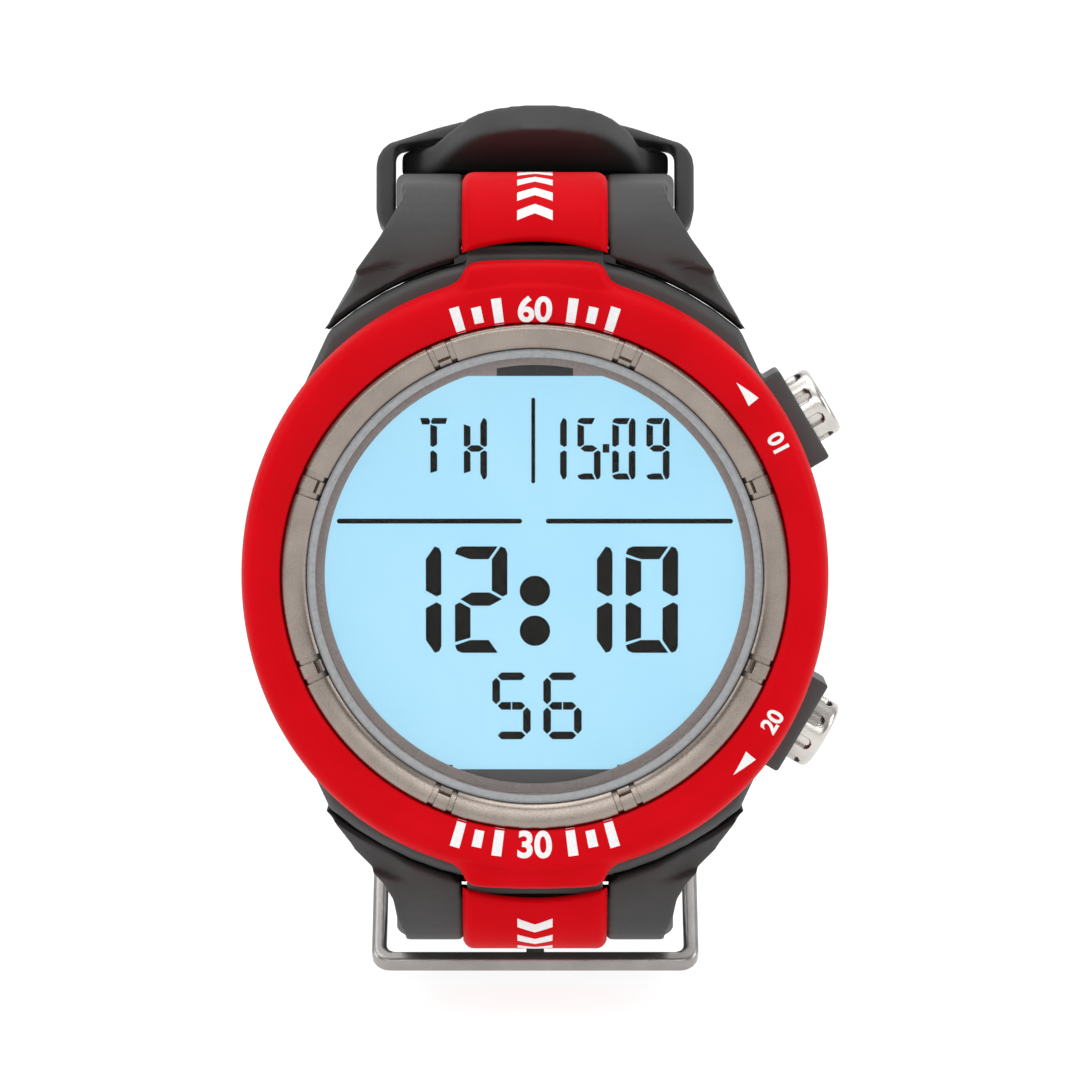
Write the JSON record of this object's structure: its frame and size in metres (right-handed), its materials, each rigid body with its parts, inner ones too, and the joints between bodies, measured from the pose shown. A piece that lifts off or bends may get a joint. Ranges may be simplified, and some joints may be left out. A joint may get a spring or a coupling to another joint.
{
  "type": "wrist dive computer",
  "caption": "Round wrist dive computer with a digital display, two push buttons, a tabbed bezel cover and a buckled strap loop.",
  "frame": {"origin": "centre of the lens's flat front face", "axes": "-Y out of the display towards the viewer, +Z towards twelve o'clock, +X towards the two push buttons"},
  "size_m": [0.0473, 0.0518, 0.0721],
  "materials": {
    "case": "matte moulded black polymer",
    "red_cover": "satin red polymer",
    "red_inlay": "satin red elastomer",
    "gunmetal_ring": "warm grey brushed metal",
    "lens_glass": "clear mineral glass",
    "seal": "grey seal rubber",
    "flange": "warm dark grey",
    "lcd": "pale blue backlit display",
    "inner_plastic": "black",
    "diffuser": "white diffuser",
    "connector": "layered conductive elastomer",
    "board": "green solder resist",
    "chip": "black package",
    "steel_small": "satin steel",
    "steel_back": "satin brushed steel",
    "button_steel": "polished steel",
    "buckle_steel": "brushed steel with bright edges",
    "brass": "brass",
    "battery_cover": "matte black polymer",
    "strap": "matte black elastomer",
    "keeper": "matte black elastomer"
  },
  "bodies": {
    "case": {"case_body": "case", "case_back": "steel_back", "case_back_gasket": "seal", "bezel_cover": "red_cover", "bezel_ring": "gunmetal_ring", "lens": "lens_glass", "lens_gasket": "seal", "display_flange": "flange", "lcd_panel": "lcd", "display_frame": "inner_plastic", "backlight_plate": "diffuser", "zebra_strip_top": "connector", "zebra_strip_bottom": "connector", "main_board": "board", "processor_chip": "chip", "quartz_can": "steel_small", "piezo_buzzer": "brass", "pressure_sensor": "steel_small", "battery": "steel_small", "battery_spring": "brass", "battery_clip": "brass", "sensor_cap": "steel_small", "lower_strap": "strap", "lower_strap_inlay": "red_inlay", "upper_lug_pin": "steel_small", "lower_lug_pin": "steel_small", "case_back_screw_1": "steel_small", "case_back_screw_2": "steel_small", "case_back_screw_3": "steel_small", "case_back_screw_4": "steel_small", "sel_sleeve": "brass", "sel_spring": "steel_small", "sel_switch": "chip", "esc_sleeve": "brass", "esc_spring": "steel_small", "esc_switch": "chip"},
    "sel_button": {"sel_button": "button_steel", "sel_o_ring": "seal", "sel_retaining_clip": "steel_small"},
    "esc_button": {"esc_button": "button_steel", "esc_o_ring": "seal", "esc_retaining_clip": "steel_small"},
    "battery_cover": {"battery_cover": "battery_cover", "battery_cover_o_ring": "seal"},
    "upper_strap": {"upper_strap": "strap", "upper_strap_inlay": "red_inlay"},
    "buckle": {"buckle_frame": "buckle_steel", "buckle_pin": "steel_small"},
    "prong": {"buckle_prong": "buckle_steel"},
    "keeper": {"keeper": "keeper"}
  },
  "joints": [
    {"name": "sel_button_press", "type": "slide", "parent": "case", "child": "sel_button", "axis": [-0.8616, 0, -0.5075], "range_m": [0, 0.0009], "stiffness_N_per_m": 1500, "springref_m": -0.0004, "deforming": ["sel_spring"]},
    {"name": "esc_button_press", "type": "slide", "parent": "case", "child": "esc_button", "axis": [-0.8616, 0, 0.5075], "range_m": [0, 0.0009], "stiffness_N_per_m": 1500, "springref_m": -0.0004, "deforming": ["esc_spring"]},
    {"name": "battery_cover_turn", "type": "hinge", "parent": "case", "child": "battery_cover", "pos_m": [0, 0.0134, 0.0028], "axis": [0, 1, 0], "range_deg": [0, 30]},
    {"name": "upper_strap_hinge", "type": "hinge", "parent": "case", "child": "upper_strap", "pos_m": [0, 0.0094, 0.0256], "axis": [1, 0, 0], "range_deg": [-4, 4], "stiffness_Nm_per_rad": 0.4, "deforming": ["lower_strap"]},
    {"name": "buckle_hinge", "type": "hinge", "parent": "upper_strap", "child": "buckle", "pos_m": [0, 0.0338, -0.0262], "axis": [1, 0, 0], "range_deg": [0, 10]},
    {"name": "prong_hinge", "type": "hinge", "parent": "buckle", "child": "prong", "pos_m": [0, 0.0338, -0.0262], "axis": [1, 0, 0], "range_deg": [0, 12]},
    {"name": "keeper_slide", "type": "slide", "parent": "upper_strap", "child": "keeper", "axis": [0, 0.9903, -0.1392], "range_m": [0, 0.004]}
  ]
}
